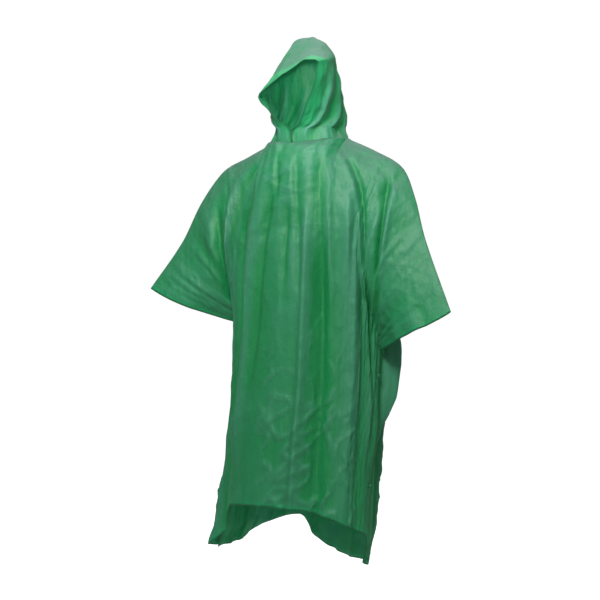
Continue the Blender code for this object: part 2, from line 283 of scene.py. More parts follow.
# %% The fold tables
# (share at the shoulder, halfway and at the hem, start row, end row, half width, height, lean)
FRONT_FOLDS = (
    (-0.05, -0.45, -0.60, 0.08, 0.92, 0.030, -0.026, 0.3),
    (0.00, -0.38, -0.52, 0.10, 1.30, 0.018, 0.013, -0.3),
    (-0.16, -0.60, -0.72, 0.10, 1.20, 0.026, 0.015, 0.0),
    (-0.40, -0.72, -0.80, 0.10, 0.75, 0.030, -0.022, 0.3),
    (0.01, -0.08, -0.17, 0.24, 0.80, 0.014, -0.013, -0.4),
    (-0.03, -0.15, -0.26, 0.28, 0.95, 0.020, 0.010, 0.2),
    (-0.08, -0.24, -0.36, 0.24, 1.40, 0.020, -0.012, 0.3),
    (-0.05, -0.02, -0.04, 0.04, 0.40, 0.007, -0.006, 0.0),
    (-0.09, -0.13, -0.20, 0.03, 0.34, 0.008, -0.005, 0.2),
    (0.02, 0.015, 0.00, 0.28, 0.62, 0.009, -0.007, 0.0),
    (0.01, 0.065, 0.11, 0.05, 0.62, 0.013, -0.008, 0.5),
    (0.06, 0.085, 0.075, 0.30, 1.80, 0.012, 0.018, 0.3),
    (0.08, 0.145, 0.18, 0.05, 0.66, 0.014, -0.008, -0.3),
    (0.08, 0.16, 0.19, 0.40, 1.80, 0.026, -0.020, -0.4),
    (0.11, 0.19, 0.22, 0.10, 0.60, 0.014, 0.006, 0.3),
    (-0.03, 0.63, 0.88, 0.04, 0.85, 0.022, 0.007, 0.4),
    (0.02, 0.70, 0.98, 0.05, 0.68, 0.020, -0.013, -0.4),
    (0.10, 0.36, 0.40, 0.16, 1.40, 0.040, 0.012, 0.3),
    (0.24, 0.50, 0.58, 0.30, 1.20, 0.024, -0.010, 0.0),
    (0.34, 0.90, 1.10, 0.02, 0.55, 0.022, -0.018, -0.3),
    (0.44, 0.86, 1.00, 0.04, 0.50, 0.020, 0.010, 0.3),
)
BACK_FOLDS = (
    (-0.10, -0.42, -0.55, 0.06, 1.40, 0.024, -0.018, 0.3),
    (-0.16, -0.55, -0.66, 0.10, 1.40, 0.022, 0.015, 0.0),
    (-0.40, -0.68, -0.76, 0.12, 1.20, 0.028, -0.020, -0.3),
    (-0.06, -0.22, -0.30, 0.08, 1.50, 0.018, 0.012, 0.2),
    (-0.04, -0.10, -0.16, 0.10, 1.50, 0.015, -0.012, 0.3),
    (-0.01, -0.02, -0.05, 0.12, 1.60, 0.016, -0.014, 0.0),
    (0.02, 0.03, 0.02, 0.16, 1.80, 0.016, 0.014, -0.4),
    (0.05, 0.12, 0.14, 0.06, 1.50, 0.016, -0.012, 0.0),
    (0.09, 0.22, 0.26, 0.08, 1.50, 0.020, 0.014, 0.3),
    (0.12, 0.34, 0.40, 0.08, 1.40, 0.018, -0.014, 0.0),
    (0.20, 0.46, 0.54, 0.10, 1.40, 0.022, 0.015, -0.3),
    (0.36, 0.58, 0.66, 0.12, 1.20, 0.026, -0.022, 0.2),
    (0.70, 0.74, 0.78, 0.34, 0.74, 0.040, 0.046, 0.0),
)


# %% Pressing the folds in
FOLD_CREST = 1.7        # how sharply a fold's side falls away; 2 would be a bell curve
LEAN_PULL = 0.6         # how much a lean of 1 would widen one side and narrow the other
PANEL_FOLD_FADE = 0.16  # rows over which a panel's fold comes and goes


def fold_heights(folds, place, travel, scale, fade_in, fade_out):
    """How far folds stand out at every place across, as they travel; scale is metres to a place."""
    total = np.zeros_like(place)
    for first, middle, last, start, end, half_width, size, lean in folds:
        bend = 2 * (first + last - 2 * middle)
        centre = first + (last - first) * travel - bend * travel * (1 - travel)
        across = (place - centre) * scale / half_width
        across = across / (1 + lean * np.sign(across) * LEAN_PULL)
        fade = ease((travel - start) / fade_in) * (1 - ease((travel - end + fade_out) / fade_out))
        total += size * np.exp(-np.abs(across) ** FOLD_CREST) * fade
    return total


# %% Gathers, flutes and creases
HALF_CUT = 0.62         # metres from the middle of the cut to its side, for spacing the unevenness
FINE_GATHER = 0.0018    # from here on, how far each kind stands out, in metres
BROAD_GATHER = 0.0022
NECK_WAVE = 0.0030
BROAD_FLUTE = 0.0035
FINE_FLUTE = 0.0016
DENT = 0.0008
SLANT_CREASE = 0.0012
CUFF_WAVE = 0.0065
PACKING_CREASE = 0.0048


def gathers(share, row, seed):
    """Small uneven gathers that fan out from the neck and the shoulder seam and fade."""
    reach = np.abs(share)
    at_neck = 1 - ease((reach - 0.12) / 0.14)
    fade = ease(row / 0.015) * (1 - ease((row - 0.03) / 0.34))
    fine = wander(share * 92 + 40, row * 2.2 + 3, seed)
    broad = wander(share * 46 + 60, row * 1.6 + 9, seed + 1)
    return (FINE_GATHER * fine + BROAD_GATHER * broad) * fade * (0.25 + 0.75 * at_neck)


def neck_wave(angle):
    """How the gathered neck seam wavers in and out round the neck, 0 at the throat."""
    return NECK_WAVE * wander(angle * 5.5 + 30, 0 * angle + 3.5, 5)


def drift(share, row, seed):
    """Soft uneven flutes and small dents, so that no stretch of film lies quite flat."""
    metres = share * HALF_CUT
    flutes = BROAD_FLUTE * wander(metres / 0.030 + 50, row * 3.0 + 11, seed)
    flutes += FINE_FLUTE * wander(metres / 0.013 + 50, row * 5.0 + 17, seed + 1)
    dents = wander((metres + row * 0.6) / 0.026 + 50, (row - metres) / 0.040 + 20, seed + 2)
    dents = DENT * dents
    slant = wander((metres + row * 0.5) / 0.030 + 40, (row - metres * 0.4) / 0.080 + 30, seed + 3)
    creases = SLANT_CREASE * (1 - np.abs(slant)) ** 3
    zone = 1 - ease((np.abs(share) - 0.90) / 0.08)
    calm = 1 - (0.55 + 0.33 * ease((np.abs(share) - 0.50) / 0.20)) * ease((row - 0.45) / 0.25)
    return (flutes * ease(row / 0.10) * calm + dents + creases) * (0.12 + 0.88 * zone)


def cuff_wave(share, row, seed):
    """How the loose cuff edge wavers in and out, fading towards the seam and the side."""
    at_edge = ease((np.abs(share) - 0.84) / 0.14)
    at_cuff = at_edge * ease((row - 0.02) / 0.10) * (1 - ease((row - 0.34) / 0.08))
    return CUFF_WAVE * wander(row / 0.055 + 20, np.sign(share) * 3 + 8.5, seed) * at_cuff


def packing_creases(share, row, seed):
    """Thin broken creases from the pouch, most of them low down, where nothing pulls them flat."""
    metres = share * HALF_CUT
    low = 0.20 + 0.80 * ease((row - 0.62) / 0.25)
    inner = 1 - 0.90 * ease((np.abs(share) - 0.48) / 0.25)
    tilt = wander((metres * 0.8 + row) / 0.050 + 30, (row * 0.8 - metres) / 0.090 + 40, seed)
    cross = wander((metres * 0.7 - row) / 0.060 + 60, (row + metres * 0.7) / 0.035 + 40, seed + 1)
    patch = ease(wander(metres / 0.060 + 40, row / 0.090 + 20, seed + 2) + 0.65)
    sharp = (1 - np.abs(tilt)) ** 9 + (1 - np.abs(cross)) ** 9
    return PACKING_CREASE * sharp * patch * low * inner


# %% [markdown]
# ## Making a shell
#
# A sheet of film can be a plane that is bent, or a grid whose points are carried to their place.
# The grid is better here, because it keeps rows and columns along the cut of the cloth, so folds,
# hems and the UV map all follow the same two directions. Solidify then gives the film its
# thickness, which closes the edges and lets light pass through two faces as it does in life.


# %% A grid carried to its place
def arc_from_start(points, axis):
    """Distance along the grid from its first row or column, in metres."""
    steps = np.linalg.norm(np.diff(points, axis=axis), axis=-1)
    steps = np.insert(steps, 0, 0.0, axis=axis)
    return np.cumsum(steps, axis=axis)


def arc_from_end(points, axis):
    along = arc_from_start(points, axis)
    return np.take(along, [-1], axis=axis) - along


def make_shell(name, points, flat_size, maps, material, facing_sign):
    """A thin film over a grid of points[row, column], with its UV map and its attributes."""
    rows, columns = points.shape[0] - 1, points.shape[1] - 1
    grid = bmesh.new()
    bmesh.ops.create_grid(grid, x_segments=columns, y_segments=rows, size=1.0)
    uv_layer = grid.loops.layers.uv.new("flat_cut")
    layers = {key: grid.verts.layers.float.new(key) for key in maps}
    flat_place = {}
    for vertex in grid.verts:
        column = round((vertex.co.x + 1) / 2 * columns)
        row = round((1 - vertex.co.y) / 2 * rows)
        flat_place[vertex.index] = (column / columns * flat_size[0], row / rows * flat_size[1])
        for key, layer in layers.items():
            vertex[layer] = maps[key][row, column]
        vertex.co = Vector(points[row, column])
    for face in grid.faces:
        for loop in face.loops:
            loop[uv_layer].uv = flat_place[loop.vert.index]
    if facing_sign < 0:
        bmesh.ops.reverse_faces(grid, faces=grid.faces)
    mesh = bpy.data.meshes.new(name)
    grid.to_mesh(mesh)
    grid.free()
    mesh.shade_smooth()
    mesh.materials.append(material)
    shell = bpy.data.objects.new(name, mesh)
    bpy.context.scene.collection.objects.link(shell)
    film = shell.modifiers.new("film", "SOLIDIFY")
    film.thickness = FILM
    film.offset = 0.0
    return shell


def area_of(shell):
    return sum(face.area for face in shell.data.polygons)


# %% [markdown]
# ## The film
#
# Soft polyethylene film is cloudy: some light passes through and scatters, some comes back from a
# smooth but slightly crinkled surface. That is a Principled shader with a moderate roughness mixed
# with a Translucent one. Two films lie on each other at every hem, which is darker and deeper in
# colour, so the colour reads the distance to the edge that each shell carries. Light and shade are
# painted into the colour as well: paler on the ridges and creases, deeper in the troughs, greyer
# where the film faces up, and darker towards the bottom.


# %% Node helpers
def add_node(tree, kind, **values):
    made = tree.nodes.new(kind)
    for name, value in values.items():
        if hasattr(made, name):
            setattr(made, name, value)
        else:
            made.inputs[name.replace("_", " ")].default_value = value
    return made


def set_inputs(node, values):
    for name, value in values.items():
        node.inputs[name].default_value = value


# %% The crinkle group
CREASES_TO_A_METRE = 14.0
CREASE_STRETCH = (1.0, 1.0, 0.45)   # creases and clouds run longer down the film than across it
FIBRE_STRETCH = (1.0, 1.0, 0.10)    # and the fine streaks much longer
CREASE_BEND = 0.05                  # how far noise bends the creases' straight lines
CREASE_WIDTH = 0.14
CREASE_SHARE = 0.45                 # a crease's part in the height, beside the grain's 1
STREAK_SHARE = 0.75


def build_crinkle_group():
    """Crinkled film: a height from creases and grain, and a cloudiness mask."""
    group = bpy.data.node_groups.new("film_crinkle", "ShaderNodeTree")
    sockets = group.interface
    sockets.new_socket("Vector", in_out="INPUT", socket_type="NodeSocketVector")
    scale = sockets.new_socket("Crease Scale", in_out="INPUT", socket_type="NodeSocketFloat")
    scale.default_value = CREASES_TO_A_METRE
    sockets.new_socket("Height", in_out="OUTPUT", socket_type="NodeSocketFloat")
    sockets.new_socket("Cloud", in_out="OUTPUT", socket_type="NodeSocketFloat")
    start = group.nodes.new("NodeGroupInput")
    end = group.nodes.new("NodeGroupOutput")
    link = group.links.new
    stretch = add_node(group, "ShaderNodeMapping")
    stretch.inputs["Scale"].default_value = CREASE_STRETCH
    link(start.outputs["Vector"], stretch.inputs["Vector"])
    warp = add_node(group, "ShaderNodeTexNoise", Scale=6.0, Detail=2.0)
    link(stretch.outputs["Vector"], warp.inputs["Vector"])
    bend = add_node(group, "ShaderNodeVectorMath", operation="MULTIPLY_ADD")
    bend.inputs[1].default_value = (CREASE_BEND, CREASE_BEND, CREASE_BEND)
    link(warp.outputs["Color"], bend.inputs[0])
    link(stretch.outputs["Vector"], bend.inputs[2])
    crease = add_node(group, "ShaderNodeTexVoronoi", feature="DISTANCE_TO_EDGE")
    link(bend.outputs["Vector"], crease.inputs["Vector"])
    link(start.outputs["Crease Scale"], crease.inputs["Scale"])
    ridge = add_node(group, "ShaderNodeMapRange", interpolation_type="SMOOTHSTEP")
    set_inputs(ridge, {"From Max": CREASE_WIDTH, "To Min": 1.0, "To Max": 0.0})
    link(crease.outputs["Distance"], ridge.inputs["Value"])
    grain = add_node(group, "ShaderNodeTexNoise", Scale=55.0, Detail=3.0, Roughness=0.55)
    link(start.outputs["Vector"], grain.inputs["Vector"])
    fibre_stretch = add_node(group, "ShaderNodeMapping")
    fibre_stretch.inputs["Scale"].default_value = FIBRE_STRETCH
    link(start.outputs["Vector"], fibre_stretch.inputs["Vector"])
    fibre = add_node(group, "ShaderNodeTexNoise", Scale=110.0, Detail=3.0, Roughness=0.6)
    link(fibre_stretch.outputs["Vector"], fibre.inputs["Vector"])
    streaks = add_node(group, "ShaderNodeMath", operation="MULTIPLY_ADD")
    streaks.inputs[1].default_value = STREAK_SHARE
    link(fibre.outputs["Fac"], streaks.inputs[0])
    link(grain.outputs["Fac"], streaks.inputs[2])
    height = add_node(group, "ShaderNodeMath", operation="MULTIPLY_ADD")
    height.inputs[1].default_value = CREASE_SHARE
    link(ridge.outputs["Result"], height.inputs[0])
    link(streaks.outputs["Value"], height.inputs[2])
    link(height.outputs["Value"], end.inputs["Height"])
    cloud = add_node(group, "ShaderNodeTexNoise", Scale=3.5, Detail=4.0, Roughness=0.6)
    link(stretch.outputs["Vector"], cloud.inputs["Vector"])
    link(cloud.outputs["Fac"], end.inputs["Cloud"])
    return group


crinkle = build_crinkle_group()
print("effect:", crinkle.name)

# %% The film's material
# painted light and shade: the trough colour stands for shade in the folds, the ridge colour for
# light on the crests
FILM_TROUGH = (0.004, 0.245, 0.066, 1.0)
FILM_RIDGE = (0.056, 0.272, 0.166, 1.0)
FILM_DOUBLE = (0.012, 0.315, 0.112, 1.0)
FILM_PAINTED_SHEEN = (0.064, 0.142, 0.117, 1.0)     # painted sheen: greyer where it faces up, as the top light would grey it
FILM_EDGE = (0.006, 0.085, 0.032, 1.0)
FILM_THROUGH = (0.180, 0.640, 0.430, 1.0)
FILM_GLOSS = {
    "Roughness": 0.56,
    "Specular IOR Level": 0.55,
    "Sheen Weight": 0.05,
    "Sheen Roughness": 0.45,
    "Sheen Tint": (0.85, 1.0, 0.98, 1.0),
}
THROUGH_SHARE = 0.45    # how much of the light passes through and scatters
CLOUD_SHARE = 0.9       # how much the clouds shift the colour from trough to ridge
EDGE_LINE = 0.0060      # the dark line where the film is folded over


def blend_colours(tree, share, low, high):
    """A mix of two colours, each a constant or a socket, by a share that is a socket."""
    blend = add_node(tree, "ShaderNodeMix", data_type="RGBA")
    tree.links.new(share, blend.inputs[0])
    for socket, value in ((blend.inputs[6], low), (blend.inputs[7], high)):
        if isinstance(value, tuple):
            socket.default_value = value
        else:
            tree.links.new(value, socket)
    return blend.outputs[2]


def map_range(tree, value, low, high, start, end):
    made = add_node(tree, "ShaderNodeMapRange", interpolation_type="SMOOTHSTEP")
    set_inputs(made, {"From Min": low, "From Max": high, "To Min": start, "To Max": end})
    tree.links.new(value, made.inputs["Value"])
    return made.outputs["Result"]


def make_film():
    """Cloudy green film that lets some of the light through, with its ridges painted paler as if
    lit.
    """
    material = bpy.data.materials.new("green_film")
    material.use_nodes = True
    tree = material.node_tree
    link = tree.links.new
    shader = tree.nodes["Principled BSDF"]
    output = tree.nodes["Material Output"]
    set_inputs(shader, FILM_GLOSS)
    place = add_node(tree, "ShaderNodeTexCoord")
    texture = add_node(tree, "ShaderNodeGroup", node_tree=crinkle)
    link(place.outputs["Object"], texture.inputs["Vector"])
    bump = add_node(tree, "ShaderNodeBump", Strength=0.50, Distance=0.0032)
    link(texture.outputs["Height"], bump.inputs["Height"])
    link(bump.outputs["Normal"], shader.inputs["Normal"])
    rise = add_node(tree, "ShaderNodeAttribute", attribute_name="rise").outputs["Fac"]
    band = add_node(tree, "ShaderNodeAttribute", attribute_name="band").outputs["Fac"]
    edge = add_node(tree, "ShaderNodeAttribute", attribute_name="edge").outputs["Fac"]
    # painted light and shade: high rise paler, low rise deeper, with the random clouds added to it
    cloud_and_ridge_light = add_node(tree, "ShaderNodeMath", operation="MULTIPLY_ADD")
    cloud_and_ridge_light.inputs[1].default_value = CLOUD_SHARE
    link(texture.outputs["Cloud"], cloud_and_ridge_light.inputs[0])
    link(map_range(tree, rise, 0.15, 0.85, -0.50, 0.35), cloud_and_ridge_light.inputs[2])
    # painted shade: the colour gets darker towards the bottom, where the top light reaches less
    heights = add_node(tree, "ShaderNodeSeparateXYZ")
    link(place.outputs["Object"], heights.inputs["Vector"])
    lower = add_node(tree, "ShaderNodeMath", operation="ADD")
    link(cloud_and_ridge_light.outputs["Value"], lower.inputs[0])
    link(map_range(tree, heights.outputs["Z"], -0.95, -0.35, -0.20, 0.0), lower.inputs[1])
    colour = blend_colours(tree, lower.outputs["Value"], FILM_TROUGH, FILM_RIDGE)
    # painted sheen: the colour turns grey where the film's normal points up
    facing = add_node(tree, "ShaderNodeSeparateXYZ")
    link(add_node(tree, "ShaderNodeNewGeometry").outputs["Normal"], facing.inputs["Vector"])
    painted_sheen = map_range(tree, facing.outputs["Z"], 0.25, 0.90, 0.0, 0.85)
    colour = blend_colours(tree, painted_sheen, colour, FILM_PAINTED_SHEEN)
    double = map_range(tree, band, 0.0, 1.0, 0.0, 0.95)
    colour = blend_colours(tree, double, colour, FILM_DOUBLE)
    folded = map_range(tree, edge, EDGE_LINE * 0.5, EDGE_LINE, 0.8, 0.0)
    colour = blend_colours(tree, folded, colour, FILM_EDGE)
    link(colour, shader.inputs["Base Color"])
    through = add_node(tree, "ShaderNodeBsdfTranslucent")
    through.inputs["Color"].default_value = FILM_THROUGH
    link(bump.outputs["Normal"], through.inputs["Normal"])
    both = add_node(tree, "ShaderNodeMixShader")
    both.inputs["Fac"].default_value = THROUGH_SHARE
    link(shader.outputs["BSDF"], both.inputs[1])
    link(through.outputs["BSDF"], both.inputs[2])
    link(both.outputs["Shader"], output.inputs["Surface"])
    return material


film = make_film()
print("film:", film.name, len(film.node_tree.nodes), "nodes")

# %% [markdown]
# ## The front and back panels
#
# Each panel is one piece of film from cuff to cuff. The wearer's body and arms give the broad
# shape, and the folds are pressed in after it, in the direction that the cloth faces. Columns are
# closer together near the neck, where the gathers are.

# %% Make the panels
PANEL_HEM = 0.009       # the doubled film along the hem, the cuffs and the side edges
RISE_SPAN = 0.030       # from the lowest trough to the highest ridge, for the painted light and shade in the colour
CREASE_PAINTED_LIGHT = 5.0       # painted highlight: how much paler a packing crease is painted than its height alone gives
PANEL_COLUMNS = 272
PANEL_ROWS = 170
PANEL_UV_SIZE = (1.30, 1.05)
NECK_MARGIN = 0.02      # shares over which what belongs to the neck fades out beside it
SEAM_CREASE_REACH = 0.005


def shares_across():
    """The share of every column, with more columns where the film is gathered."""
    column = np.linspace(-1, 1, PANEL_COLUMNS + 1)
    even = np.array(COLUMN_SPREAD)
    spread = np.interp(np.abs(column), even[:, 0], even[:, 1])
    return np.sign(column) * (0.45 * spread + 0.55 * np.abs(column) ** 1.15)


def make_panel(name, facing, hem, folds, seed):
    share, row = np.meshgrid(shares_across(), np.linspace(0, 1, PANEL_ROWS + 1))
    bare = bare_panel(share, row, facing, hem)
    normal = facing_out(bare, facing)
    scale = np.linalg.norm(np.gradient(bare, axis=1), axis=-1) / np.gradient(share, axis=1)
    relief = fold_heights(folds, share, row, scale, PANEL_FOLD_FADE, PANEL_FOLD_FADE)
    relief *= 1 - ease((np.abs(share) - FOLD_FREE_SHARE) / 0.14)
    relief += gathers(share, row, seed) + drift(share, row, seed + 5)
    creases = packing_creases(share, row, seed + 20)
    relief = (relief + creases + cuff_wave(share, row, seed + 30)) * ease(row / 0.03)
    # the height that the material turns into painted light on ridges and creases and painted shade
    # in troughs
    rise = np.clip(0.5 + (relief + CREASE_PAINTED_LIGHT * creases) / RISE_SPAN, 0, 1)
    turn = np.clip(share / NECK_SHARE, -1, 1) * math.pi / 2
    angle = turn if facing < 0 else np.sign(share) * math.pi - turn
    within_neck = 1 - ease((np.abs(share) - NECK_SHARE) / NECK_MARGIN)
    at_neck = within_neck * (1 - ease(row / 0.12))
    from_seam = arc_from_start(bare, 0)
    off_weld = np.maximum(ease(row / 0.02), within_neck)
    relief += WALL / 2 * off_weld + neck_wave(angle) * at_neck
    relief -= SEAM_VALLEY * np.exp(-((from_seam / SEAM_CREASE_REACH) ** 2)) * at_neck
    points = bare + normal * relief[..., None]
    to_hem = arc_from_end(points, 0)
    to_side = np.minimum(arc_from_start(points, 1), arc_from_end(points, 1))
    edge = np.minimum(to_hem, to_side)
    maps = {"edge": edge, "band": 1 - ease((edge - PANEL_HEM) / 0.002), "rise": rise}
    shell = make_shell(name, points, PANEL_UV_SIZE, maps, film, facing)
    print(name, "area", round(area_of(shell), 3), "m2, relief", relief.min(), relief.max())
    return shell


front = make_panel("front_film", -1, FRONT_HEM, FRONT_FOLDS, 11)
back = make_panel("back_film", 1, BACK_HEM, BACK_FOLDS, 41)

# %% [markdown]
# ## The hood
#
# The hood is two halves, joined from the face opening over the crown and down to the nape, and
# gathered into the neck. A real one is cut flat and takes its shape from that one curved seam.
# Each half is again a grid: one direction runs from the face edge round to the back seam, the
# other from the neck up to the crown.

# %% Tables of the hood
# (level, x, y, z)
FACE_EDGE = {
    "left": (
        (0.00, 0.000, -0.0995, -0.012),
        (0.08, 0.000, -0.1010, 0.014),
        (0.20, 0.026, -0.1080, 0.036),
        (0.42, 0.060, -0.1250, 0.090),
        (0.62, 0.080, -0.1220, 0.147),
        (0.78, 0.083, -0.1120, 0.184),
        (0.90, 0.048, -0.1130, 0.190),
        (1.00, 0.000, -0.1140, 0.166),
    ),
    "right": (
        (0.00, 0.000, -0.0995, -0.012),
        (0.08, 0.000, -0.1010, 0.014),
        (0.20, 0.036, -0.1090, 0.046),
        (0.42, 0.066, -0.1200, 0.080),
        (0.62, 0.085, -0.1210, 0.107),
        (0.78, 0.066, -0.1180, 0.126),
        (0.90, 0.035, -0.1160, 0.145),
        (1.00, 0.000, -0.1140, 0.166),
    ),
}
# (level, y, z)
NAPE_LINE = (
    (0.00, 0.0850, 0.000),
    (0.20, 0.0860, 0.050),
    (0.42, 0.0820, 0.105),
    (0.62, 0.0720, 0.155),
    (0.78, 0.0600, 0.195),
    (0.90, 0.0500, 0.220),
    (1.00, 0.0420, 0.235),
)
# (level, how far the side stands out, how far the crown stands up)
HOOD_FILL = {
    "left": (
        (0.00, 0.105, 0.000),
        (0.20, 0.068, 0.000),
        (0.42, 0.036, 0.000),
        (0.62, 0.016, 0.004),
        (0.78, 0.008, 0.018),
        (0.90, 0.010, 0.040),
        (1.00, 0.000, 0.062),
    ),
    "right": (
        (0.00, 0.105, 0.000),
        (0.20, 0.066, 0.000),
        (0.42, 0.036, 0.000),
        (0.62, 0.018, 0.024),
        (0.78, 0.022, 0.062),
        (0.90, 0.024, 0.076),
        (1.00, 0.000, 0.062),
    ),
}
# (share round from the face edge at the neck, halfway and at the crown, start level, end level,
# half width, height, lean)
HOOD_FOLDS = {
    "left": (
        (0.10, 0.22, 0.30, 0.02, 0.70, 0.012, 0.006, 0.3),
        (0.16, 0.34, 0.46, 0.00, 0.80, 0.014, -0.005, 0.0),
        (0.28, 0.46, 0.60, 0.00, 0.75, 0.013, 0.005, -0.3),
        (0.40, 0.56, 0.66, 0.00, 0.60, 0.014, -0.006, 0.2),
        (0.55, 0.66, 0.74, 0.00, 0.66, 0.013, 0.005, 0.0),
        (0.70, 0.76, 0.82, 0.00, 0.55, 0.012, -0.005, 0.0),
    ),
    "right": (
        (0.12, 0.20, 0.28, 0.02, 0.66, 0.012, 0.005, 0.3),
        (0.22, 0.34, 0.44, 0.00, 0.74, 0.014, -0.005, 0.0),
        (0.34, 0.46, 0.54, 0.00, 0.70, 0.013, 0.005, -0.2),
        (0.50, 0.60, 0.66, 0.00, 0.60, 0.013, -0.005, 0.2),
        (0.66, 0.72, 0.80, 0.00, 0.62, 0.012, 0.005, 0.0),
    ),
}


# %% The form of a hood half
def bare_hood(along, level, side):
    """Every point of a hood half, along from the face edge (0) round to the back seam (1)."""
    edge_x, edge_y, edge_z = (read_smooth(FACE_EDGE[side], level, axis) for axis in (1, 2, 3))
    nape_y, nape_z = (read_smooth(NAPE_LINE, level, axis) for axis in (1, 2))
    side_fill, crown_fill = (read_smooth(HOOD_FILL[side], level, axis) for axis in (1, 2))
    turn = along * math.pi
    back_share = mix((1 - np.cos(turn)) / 2, np.sin(turn / 2), ease(level / 0.35))
    x = edge_x * np.cos(turn / 2) + side_fill * np.sin(turn)
    y = mix(edge_y, nape_y, back_share)
    z = mix(edge_z, nape_z, ease(along)) + crown_fill * np.sin(turn) ** (1 + along)
    return np.stack([x, y, z], -1)


HOOD_COLUMNS = 130
HOOD_ROWS = 120
TUCK = 0.006            # how far the hood's foot reaches down inside the neck
SEAM_OVERLAP = 0.0004   # how far each half passes the middle, where the two are welded
FACE_HEM = 0.046        # the folded hem along the face opening
FOOT_INSET = 0.0008     # how far the foot stands inside the neck ring
FOOT_LEVEL = 0.14       # the level by which the hood has left the foot for its own form
HOOD_FOLD_FADES = (0.12, 0.20)
HOOD_GATHER = 0.0022    # from here on, how far each kind of unevenness stands out
HOOD_DENT = 0.0022
HOOD_CRINKLE = 0.0009
SEAM_RIDGE = 0.0010
HEM_STEP = 0.0008
HOOD_UV_SIZE = (0.33, 0.34)


def neck_foot(along, inset, drop):
    """The hood's foot, on the neck ring, set in and down a little."""
    turn = along * math.pi
    front_part = along <= 0.5
    reach = np.where(front_part, NECK_FRONT, NECK_BACK) - inset
    x = (NECK_HALF_WIDTH - inset) * np.sin(turn)
    y = -reach * np.cos(turn)
    dip = NECK_DIP * np.cos(turn) ** 2 * front_part
    return np.stack([x, y, -dip - drop], -1)


def make_hood_half(name, side, seed):
    columns, rows = np.linspace(0, 1, HOOD_COLUMNS + 1), np.linspace(1, 0, HOOD_ROWS + 1)
    along, level = np.meshgrid(columns, rows)
    bare = bare_hood(along, level, side)
    foot = neck_foot(along, FOOT_INSET, TUCK)
    lift = ease(level / FOOT_LEVEL)
    bare = mix(foot, bare, lift[..., None])
    normal = facing_out(bare, -1)
    scale = np.linalg.norm(np.gradient(bare, axis=1), axis=-1) * HOOD_COLUMNS
    scale = np.maximum(scale, 0.02)
    to_face = arc_from_start(bare, 1)
    to_back = arc_from_end(bare, 1)
    to_crown = arc_from_start(bare, 0)
    relief = fold_heights(HOOD_FOLDS[side], along, level, scale, *HOOD_FOLD_FADES)
    gathered = 1 - ease((level - 0.05) / 0.5)
    relief += HOOD_GATHER * wander(along * 34 + 5, level * 3 + 2, seed) * gathered
    relief += HOOD_DENT * wander(along * 12 + 5, level * 8 + 4, seed + 1)
    relief += HOOD_CRINKLE * wander(along * 26 + 7, level * 22 + 4, seed + 2)
    calm = ease(to_back / 0.02) * ease(to_crown / 0.02) * ease(level / 0.08)
    relief *= calm
    ridge = np.exp(-((np.minimum(to_back, to_crown) - 0.004) / 0.0025) ** 2)
    hem_width = FACE_HEM * ease(0.25 + level / 0.5) * (1 - 0.35 * ease((level - 0.75) / 0.25))
    hem_step = 1 - ease((to_face - hem_width) / 0.003)
    sign = 1 if side == "left" else -1
    # the height that the material turns into painted light on ridges and painted shade in troughs
    rise = np.clip(0.5 + relief / RISE_SPAN * 2, 0, 1)
    relief += SEAM_RIDGE * ridge * ease(level / 0.1) + HEM_STEP * hem_step * ease(level / 0.1)
    relief += WALL / 2 + neck_wave(sign * along * math.pi) * (1 - ease(level / 0.22))
    relief -= SEAM_VALLEY * (1 - ease(level / 0.05))
    to_throat = to_face + 1.0 * (level > 0.09)
    at_seam = np.minimum(np.minimum(to_back, to_crown), to_throat)
    normal[..., 0] *= ease(at_seam / 0.012)
    points = bare + normal * relief[..., None]
    points[..., 0] = np.maximum(points[..., 0], 0.0) - SEAM_OVERLAP * (at_seam < 0.003)
    points[..., 0] *= sign
    maps = {"edge": to_face, "band": hem_step * ease((level - 0.05) / 0.12), "rise": rise}
    shell = make_shell(name, points, HOOD_UV_SIZE, maps, film, -sign)
    print(name, "area", round(area_of(shell), 4), "m2")
    return shell


hood_left = make_hood_half("hood_left_film", "left", 71)
hood_right = make_hood_half("hood_right_film", "right", 83)

# %% [markdown]
# ## Lights, backdrop and camera
#
# The garment hangs in plain studio light over a pale floor: one wide soft light overhead that
# pales every face turned up, a soft pool of light from the front left on the chest, a narrow one
# into the hood, a weak fill from the right, and one behind that shines through the film. The
# camera sees the floor and the world brighter than the garment does, so the backdrop stays white
# without washing out the green.

# %% The camera's place
AZIMUTH = math.radians(30)
FORWARD = Vector((-math.sin(AZIMUTH), math.cos(AZIMUTH), 0.0))
RIGHTWARD = Vector((math.cos(AZIMUTH), math.sin(AZIMUTH), 0.0))
AIM = RIGHTWARD * -0.0286 + Vector((0, 0, -0.416))
CAMERA_DISTANCE = 4.7
LENS = 108.5
SENSOR_WIDTH = 36


def stand_at(before, right, height):
    """A place in metres before the garment, to the right of it as it is seen, and up."""
    return -FORWARD * before + RIGHTWARD * right + Vector((0, 0, height))


# %% Floor
FLOOR_HEIGHT = -1.42
FLOOR_SIDE = 40.0
FLOOR_GLOW = 0.02       # how much the floor lights the garment
FLOOR_SEEN = 0.9        # how bright the camera sees it


def link_camera_level(tree, socket, lighting, seen):
    """One strength for what the backdrop sends to the garment, another for how it looks."""
    path = tree.nodes.new("ShaderNodeLightPath")
    level = tree.nodes.new("ShaderNodeMapRange")
    level.inputs["To Min"].default_value = lighting
    level.inputs["To Max"].default_value = seen
    tree.links.new(path.outputs["Is Camera Ray"], level.inputs["Value"])
    tree.links.new(level.outputs["Result"], socket)


